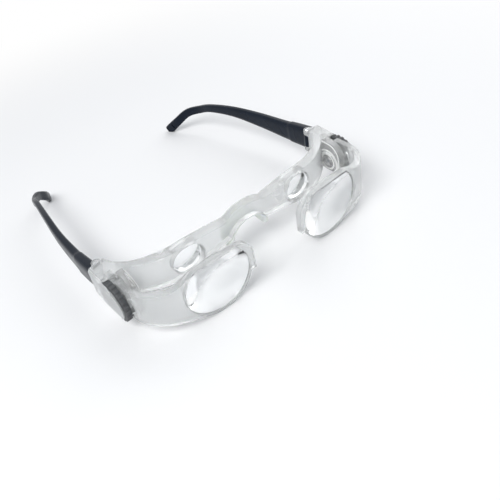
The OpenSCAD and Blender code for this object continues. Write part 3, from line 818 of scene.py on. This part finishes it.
def ribbed(body):
    """Geometry Nodes: the rib set evenly round the axle and joined to the body."""
    group = bpy.data.node_groups.new("Ribs round a wheel", "GeometryNodeTree")
    for name, kind, way in (
        ("Body", "NodeSocketGeometry", "INPUT"),
        ("Rib", "NodeSocketObject", "INPUT"),
        ("Ribs", "NodeSocketInt", "INPUT"),
        ("Axle", "NodeSocketVector", "INPUT"),
        ("Material", "NodeSocketMaterial", "INPUT"),
        ("Wheel", "NodeSocketGeometry", "OUTPUT"),
    ):
        group.interface.new_socket(name, in_out=way, socket_type=kind)
    given = add_node(group, "NodeGroupInput")
    result = add_node(group, "NodeGroupOutput")
    rib = add_node(group, "GeometryNodeObjectInfo")
    points = add_node(group, "GeometryNodePoints")
    number = add_node(group, "GeometryNodeInputIndex")
    step = add_node(group, "ShaderNodeMath", {0: 2 * math.pi}, operation="DIVIDE")
    angle = add_node(group, "ShaderNodeMath", operation="MULTIPLY")
    turn = add_node(group, "ShaderNodeCombineXYZ")
    rotation = add_node(group, "FunctionNodeEulerToRotation")
    setting = add_node(group, "GeometryNodeInstanceOnPoints")
    real = add_node(group, "GeometryNodeRealizeInstances")
    join = add_node(group, "GeometryNodeJoinGeometry")
    paint = add_node(group, "GeometryNodeSetMaterial")
    connect(
        group,
        (given.outputs["Rib"], rib.inputs["Object"]),
        (given.outputs["Ribs"], points.inputs["Count"]),
        (given.outputs["Axle"], points.inputs["Position"]),
        (given.outputs["Ribs"], step.inputs[1]),
        (number.outputs["Index"], angle.inputs[0]),
        (step.outputs[0], angle.inputs[1]),
        (angle.outputs[0], turn.inputs["X"]),
        (turn.outputs[0], rotation.inputs["Euler"]),
        (points.outputs[0], setting.inputs["Points"]),
        (rib.outputs["Geometry"], setting.inputs["Instance"]),
        (rotation.outputs[0], setting.inputs["Rotation"]),
        (setting.outputs[0], real.inputs[0]),
        (real.outputs[0], join.inputs[0]),
        (given.outputs["Body"], join.inputs[0]),
        (join.outputs[0], paint.inputs["Geometry"]),
        (given.outputs["Material"], paint.inputs["Material"]),
        (paint.outputs[0], result.inputs["Wheel"]),
    )

    rib_object = add_object("wheel rib", rib_mesh())
    blank = add_object("wheel", body)
    ribs = blank.modifiers.new("Ribs", "NODES")
    ribs.node_group = group
    values = {
        "Rib": rib_object,
        "Ribs": RIBS,
        "Axle": (0.0, AXLE_Y, AXLE_Z),
        "Material": wheel_plastic,
    }
    for item in group.interface.items_tree:
        if item.in_out == "INPUT" and item.name in values:
            ribs[item.identifier] = values[item.name]
    mesh = settle(blank)
    bpy.data.objects.remove(rib_object)
    return mesh


wheel_mesh = ribbed(wheel_body())
for side_name, side in sides.items():
    mesh = wheel_mesh.copy()
    set_down(mesh, side)
    smooth_shade(mesh, angle=38)
    show(
        "ribbed_wheel_" + side_name,
        mesh,
        wheel_plastic,
        "wheel_" + side_name,
        ["focus_wheel_" + side_name],
    )

# Temples
# Blue-black moulded plastic with a soft sheen: deep and flat at the hinge, drawn out
# thin, then hooked in and down behind the ear. A fine line runs low along the outer
# side, the knuckle fits between the frame's two, and two cord slots cross the tip.

temple_plastic = moulded(
    "Blue-black temple plastic",
    (0.008, 0.013, 0.024),
    (0.005, 0.009, 0.016),
    broad=70.0,
    smooth=0.18,
    rough=0.3,
    fine=2400.0,
    height=0.000004,
    IOR=1.5,
    Specular_IOR_Level=0.12,
)

# y, x and z of the temple's middle, its width and its height
TEMPLE = [
    (-1.0, 69.7, -0.9, 6.6, 13.2),
    (10, 69.9, -2.7, 6.0, 12.4),
    (22, 69.6, -4.5, 5.4, 11.4),
    (44, 68.2, -6.3, 4.4, 9.2),
    (66, 65.3, -8.0, 3.6, 6.4),
    (86, 62.2, -11.9, 3.1, 5.0),
    (97.5, 60.4, -16.4, 3.0, 4.9),
    (106.2, 55.8, -20.2, 3.0, 5.2),
    (112.5, 50.4, -26.8, 3.0, 5.6),
    (118, 47.8, -32.4, 3.0, 6.0),
    (120.9, 46.7, -34.6, 2.6, 4.8),
]
# rows of points from one station to the next; how square the section is; how far the
# root's edge is eased, the root's size there, and the sizes of the last rows at the tip
TEMPLE_STEPS, TEMPLE_SQUARE = 12, 0.55
ROOT_EASE, ROOT_SIZE, TIP_SIZES = 0.25, 0.94, (1.0, 0.985, 0.93, 0.8)
# behind the raised block at its root the temple is slimmer by WAIST on every side; the
# step takes WAIST_IN, and from WAIST_OUT back over WAIST_FADE it is lost again
BLOCK_END, WAIST, WAIST_IN, WAIST_OUT, WAIST_FADE = 17.5, 0.3, 0.9, 80, 60
# the line's depth, its half width, how low it lies as a share of the height, and its
# start and end with the lengths over which it deepens and fades
LINE_DEPTH, LINE_WIDE, LINE_LOW = 0.4, 0.45, 0.27
LINE_START, LINE_IN, LINE_END, LINE_FADE = 2.5, 3, 44, 22
HINGE_X, HINGE_Y, HINGE_HOLE_R = 67.6, 1.4, 0.85
KNUCKLE_R, KNUCKLE_LOW, KNUCKLE_TOP, KNUCKLE_ROOM = 2.4, -4.4, 2.8, 0.3
# rows from the tip to each cord slot, half its width, half its straight part
SLOT_ROWS, SLOT_R, SLOT_STRAIGHT = (6, 18), 0.55, 1.15
# how far cutters reach, well past what they cut
THROUGH_TIP, THROUGH_X, THROUGH_Y, THROUGH_Z = 6, 10, 3, 20


def flow(stations, steps):
    """Points of a smooth curve through the stations, steps between each pair."""
    rows = []
    last = len(stations) - 1
    for i in range(last):
        near = [stations[max(0, min(last, i + j))] for j in (-1, 0, 1, 2)]
        for k in range(steps):
            t = k / steps
            rows.append([
                0.5 * (2 * q + (r - p) * t + (2 * p - 5 * q + 4 * r - s) * t * t
                       + (3 * q - p - 3 * r + s) * t**3)
                for p, q, r, s in zip(*near)
            ])
    rows.append(list(stations[last]))
    return rows


temple_rows = flow(TEMPLE, TEMPLE_STEPS)


def temple_ways(k):
    """Middle of the temple at row k, and its ways ahead, across and up there. It runs
    square to the hinge at first."""
    one, two = temple_rows[max(k - 1, 0)], temple_rows[min(k + 1, len(temple_rows) - 1)]
    ahead = Vector((two[1] - one[1], two[0] - one[0], two[2] - one[2])).normalized()
    share = min(1.0, k / (2 * TEMPLE_STEPS))
    ahead = (share * ahead + Vector((0, 1 - share, 0))).normalized()
    across = ahead.cross(Vector((0, 0, 1))).normalized()
    y, x, z = temple_rows[k][:3]
    return Vector((x, y, z)), ahead, across, across.cross(ahead)


def ease(t):
    """0 below 0, 1 above 1, with a soft start and end between."""
    t = clamp(t)
    return t * t * (3 - 2 * t)


def temple_mesh():
    """The whole temple as one swept skin, with its line, block and waist."""
    plain = len(temple_rows) - 1 - len(TIP_SIZES)
    sizes = [ROOT_SIZE, *[1.0] * plain, *TIP_SIZES]
    rows = []
    for k, (y, _, _, width, height) in enumerate(temple_rows):
        middle, _, across, up = temple_ways(k)
        groove = LINE_DEPTH * ease((y - LINE_START) / LINE_IN)
        groove *= ease((LINE_END - y) / LINE_FADE)
        waist = WAIST * ease((y - BLOCK_END) / WAIST_IN)
        waist *= ease((WAIST_OUT - y) / WAIST_FADE)
        half_w, half_h = width / 2 * sizes[k] - waist, height / 2 * sizes[k] - waist
        row = []
        for t in turns(96):
            p, q = rounded(half_w, half_h, t, TEMPLE_SQUARE)
            if p > 0:
                p -= groove * math.exp(-(((q + LINE_LOW * height) / LINE_WIDE) ** 2))
            row.append(middle + p * across + q * up)
        rows.append(row)
        if k == 0:
            full = middle + Vector((0, ROOT_EASE, 0))
            rows.append([full + (v - middle) / ROOT_SIZE for v in row])
    return closed_skin(rows, "temple")


def rod(r, z0, z1, segments=64):
    """A cylinder about the hinge's axis, from z0 up to z1."""
    work = bmesh.new()
    bmesh.ops.create_cone(
        work,
        cap_ends=True,
        segments=segments,
        radius1=r,
        radius2=r,
        depth=z1 - z0,
        matrix=Matrix.Translation((HINGE_X, HINGE_Y, (z0 + z1) / 2)),
    )
    return work


def block(x1, y0, y1, z0, z1):
    """A block from the temple's inner side out to x1."""
    x0 = HINGE_X - THROUGH_X
    size = (x1 - x0, y1 - y0, z1 - z0)
    middle = ((x0 + x1) / 2, (y0 + y1) / 2, (z0 + z1) / 2)
    work = bmesh.new()
    bmesh.ops.create_cube(work, size=1, matrix=Matrix.LocRotScale(middle, None, size))
    return work


def slot(k):
    """A bar with round edges across the temple at row k."""
    middle, ahead, across, up = temple_ways(k)
    rows = []
    for depth in (-THROUGH_TIP, THROUGH_TIP):
        row = []
        for i in range(32):
            t = 2 * math.pi * i / 32
            rise = SLOT_R * math.sin(t) + math.copysign(SLOT_STRAIGHT, math.sin(t))
            row.append(middle + across * depth + ahead * SLOT_R * math.cos(t) + up * rise)
        rows.append(row)
    work = bmesh.new()
    first, last = skin(work, rows)
    work.faces.new(first)
    work.faces.new(reversed(last))
    bmesh.ops.recalc_face_normals(work, faces=work.faces)
    return work


def cut_temple():
    """The swept temple with its inner half cut back to the hinge, the knuckle added,
    room made for the frame's knuckles, and the pin's hole and the cord slots cut."""
    room, start = KNUCKLE_R + KNUCKLE_ROOM, -THROUGH_Y
    inner_half = block(HINGE_X, start, HINGE_Y, -THROUGH_Z, THROUGH_Z)
    steps = [
        ("inner half", "DIFFERENCE", inner_half),
        ("knuckle", "UNION", rod(KNUCKLE_R, KNUCKLE_LOW, KNUCKLE_TOP)),
    ]
    for z0, z1 in ((KNUCKLE_TOP, THROUGH_Z), (-THROUGH_Z, KNUCKLE_LOW)):
        steps += [
            ("knuckle room", "DIFFERENCE", rod(room, z0, z1)),
            ("gap beside", "DIFFERENCE", block(HINGE_X + room, start, HINGE_Y, z0, z1)),
            ("gap behind", "DIFFERENCE", block(HINGE_X, start, HINGE_Y + room, z0, z1)),
        ]
    pin_hole = rod(HINGE_HOLE_R, -THROUGH_Z, THROUGH_Z, segments=32)
    steps.append(("pin hole", "DIFFERENCE", pin_hole))
    for back in SLOT_ROWS:
        steps.append(("cord slot", "DIFFERENCE", slot(len(temple_rows) - 1 - back)))
    blank = add_object("temple", temple_mesh())
    tools = []
    for name, operation, work in steps:
        tools.append(add_object(name, finished(work, name)))
        modifier = blank.modifiers.new(name, "BOOLEAN")
        modifier.operation = operation
        modifier.solver = "EXACT"
        modifier.object = tools[-1]
    mesh = settle(blank)
    for obj in tools:
        bpy.data.objects.remove(obj)
    return mesh


temple_cut = cut_temple()
for side_name, side in sides.items():
    mesh = temple_cut.copy()
    set_down(mesh, side)
    # the tip rests on the floor
    for vertex in mesh.vertices:
        vertex.co.z = max(vertex.co.z, 0.0)
    smooth_shade(mesh, angle=40)
    show(
        "curved_temple_" + side_name,
        mesh,
        temple_plastic,
        "temple_" + side_name,
        ["temple_" + side_name],
    )

# Small steel parts: wheel screws, spring washers, follower pins and hinge screws
# Turned from bright steel, which leaves fine rings about each axis. They are the exact
# solids with their corners broken by up to a tenth of a millimetre.


def turned_steel(name, at, tilt):
    """Bright steel whose fine turning rings lie about the axis through at; tilt turns
    that axis onto the pattern's own upright one."""
    material, tree, shader = new_material(name, Metallic=1.0)
    place = add_node(tree, "ShaderNodeTexCoord")
    centre = add_node(
        tree,
        "ShaderNodeMapping",
        {"Location": at, "Rotation": tilt},
        vector_type="TEXTURE",
    )
    rings = add_node(
        tree,
        "ShaderNodeTexWave",
        {"Scale": 1400.0, "Distortion": 0.6, "Detail": 2.0},
        wave_type="RINGS",
        rings_direction="Z",
    )
    gloss = add_node(tree, "ShaderNodeMapRange", {"To Min": 0.17, "To Max": 0.34})
    shade = add_node(
        tree,
        "ShaderNodeMix",
        {MIX_DARK: (0.55, 0.56, 0.58, 1.0), MIX_LIGHT: (0.66, 0.67, 0.69, 1.0)},
        data_type="RGBA",
    )
    connect(
        tree,
        (place.outputs["Object"], centre.inputs["Vector"]),
        (centre.outputs["Vector"], rings.inputs["Vector"]),
        (rings.outputs["Fac"], gloss.inputs["Value"]),
        (gloss.outputs["Result"], shader.inputs["Roughness"]),
        (rings.outputs["Fac"], shade.inputs["Factor"]),
        (shade.outputs[MIX_OUT], shader.inputs["Base Color"]),
    )
    return material


sideways, upright = (0, math.pi / 2, 0), lean.to_euler()
pin_at = stand @ (Vector((0, AXLE_Y - GROOVE_MID_R, AXLE_Z)) * MM)
axle_steel = turned_steel("Turned steel on the axle", axle_at, sideways)
pin_steel = turned_steel("Turned steel of the pins", pin_at, sideways)
for side_name, side in sides.items():
    hinge_at = stand @ (Vector((HINGE_X * side, HINGE_Y, 0)) * MM)
    name = "Turned steel of the hinge, " + side_name
    hinge_steel = turned_steel(name, hinge_at, upright)
    for kind, edge, body, steel in (
        ("wheel_screw", 0.0001, "frame", axle_steel),
        ("spring_washer", 0.00004, "frame", axle_steel),
        ("follower_pin", 0.00008, "carrier_" + side_name, pin_steel),
        ("hinge_screw", 0.00008, "frame", hinge_steel),
    ):
        node = kind + "_" + side_name
        mesh = eased_copy(node, edge, angle=50)
        show("steel_" + node, mesh, steel, body, [node])

# Floor, light and camera
# A plain pale floor under a white background, one large soft lamp high on the camera's
# left, a weaker one opposite, and the photograph's own view, found from both halves.


def seen_rays(tree):
    """1 for a ray from the camera, off gloss or through glass, else 0."""
    rays = add_node(tree, "ShaderNodeLightPath")
    both = add_node(tree, "ShaderNodeMath", operation="MAXIMUM")
    every = add_node(tree, "ShaderNodeMath", operation="MAXIMUM")
    connect(
        tree,
        (rays.outputs["Is Camera Ray"], both.inputs[0]),
        (rays.outputs["Is Glossy Ray"], both.inputs[1]),
        (both.outputs[0], every.inputs[0]),
        (rays.outputs["Is Transmission Ray"], every.inputs[1]),
    )
    return every.outputs[0]


# far from the glasses the floor is seen as white as the background
paper, tree, shader = new_material(
    "Pale floor", Base_Color=(0.88, 0.88, 0.88, 1), Roughness=0.7
)
place = add_node(tree, "ShaderNodeTexCoord")
distance = add_node(tree, "ShaderNodeVectorMath", operation="LENGTH")
far = add_node(
    tree,
    "ShaderNodeMapRange",
    {"From Min": 0.16, "From Max": 0.42},
    interpolation_type="SMOOTHSTEP",
)
share = add_node(tree, "ShaderNodeMath", operation="MULTIPLY")
white = add_node(tree, "ShaderNodeEmission")
mix = add_node(tree, "ShaderNodeMixShader")
connect(
    tree,
    (place.outputs["Object"], distance.inputs[0]),
    (distance.outputs["Value"], far.inputs["Value"]),
    (far.outputs["Result"], share.inputs[0]),
    (seen_rays(tree), share.inputs[1]),
    (share.outputs[0], mix.inputs["Fac"]),
    (shader.outputs[0], mix.inputs[1]),
    (white.outputs[0], mix.inputs[2]),
    (mix.outputs[0], tree.nodes["Material Output"].inputs["Surface"]),
)

FLOOR_HALF, FLOOR_Z = 3.0, -0.0002
work = bmesh.new()
bmesh.ops.create_grid(
    work,
    x_segments=1,
    y_segments=1,
    size=FLOOR_HALF,
    matrix=Matrix.Translation((0, 0, FLOOR_Z)),
)
floor = add_object("floor", finished(work, "floor"))
floor.data.materials.append(paper)

world = bpy.data.worlds.new("Soft room")
bpy.context.scene.world = world
world.use_nodes = True
tree = world.node_tree
tree.nodes.clear()
seen = add_node(tree, "ShaderNodeBackground", {"Color": (1, 1, 1, 1), "Strength": 1.0})
room = add_node(
    tree, "ShaderNodeBackground", {"Color": (0.80, 0.84, 0.90, 1), "Strength": 0.45}
)
mix = add_node(tree, "ShaderNodeMixShader")
out = add_node(tree, "ShaderNodeOutputWorld")
connect(
    tree,
    (seen_rays(tree), mix.inputs["Fac"]),
    (room.outputs[0], mix.inputs[1]),
    (seen.outputs[0], mix.inputs[2]),
    (mix.outputs[0], out.inputs["Surface"]),
)


def lamp(name, at, size, power):
    """A rectangular soft lamp that points at the origin."""
    light = bpy.data.lights.new(name, "AREA")
    light.shape = "RECTANGLE"
    light.size, light.size_y = size
    light.energy = power
    obj = add_object(name, light)
    obj.location = at
    obj.rotation_euler = (-Vector(at)).to_track_quat("-Z", "Y").to_euler()


lamp("window lamp", (-0.55, -0.35, 0.75), (0.6, 0.45), 7.0)
lamp("fill lamp", (0.6, 0.2, 0.5), (0.9, 0.9), 3.2)

camera_data = bpy.data.cameras.new("camera")
camera_data.sensor_width = 36.0
camera_data.lens = 46.91
camera_data.clip_start, camera_data.clip_end = 0.01, 10.0
camera = add_object("camera", camera_data)
camera.matrix_world = stand @ Matrix.LocRotScale(
    Vector((-0.1275, -0.2236, 0.2081)),
    Euler([math.radians(a) for a in (45.604, 7.744, -40.161)]),
    None,
)
bpy.context.scene.camera = camera
bpy.context.scene.view_settings.view_transform = "Standard"
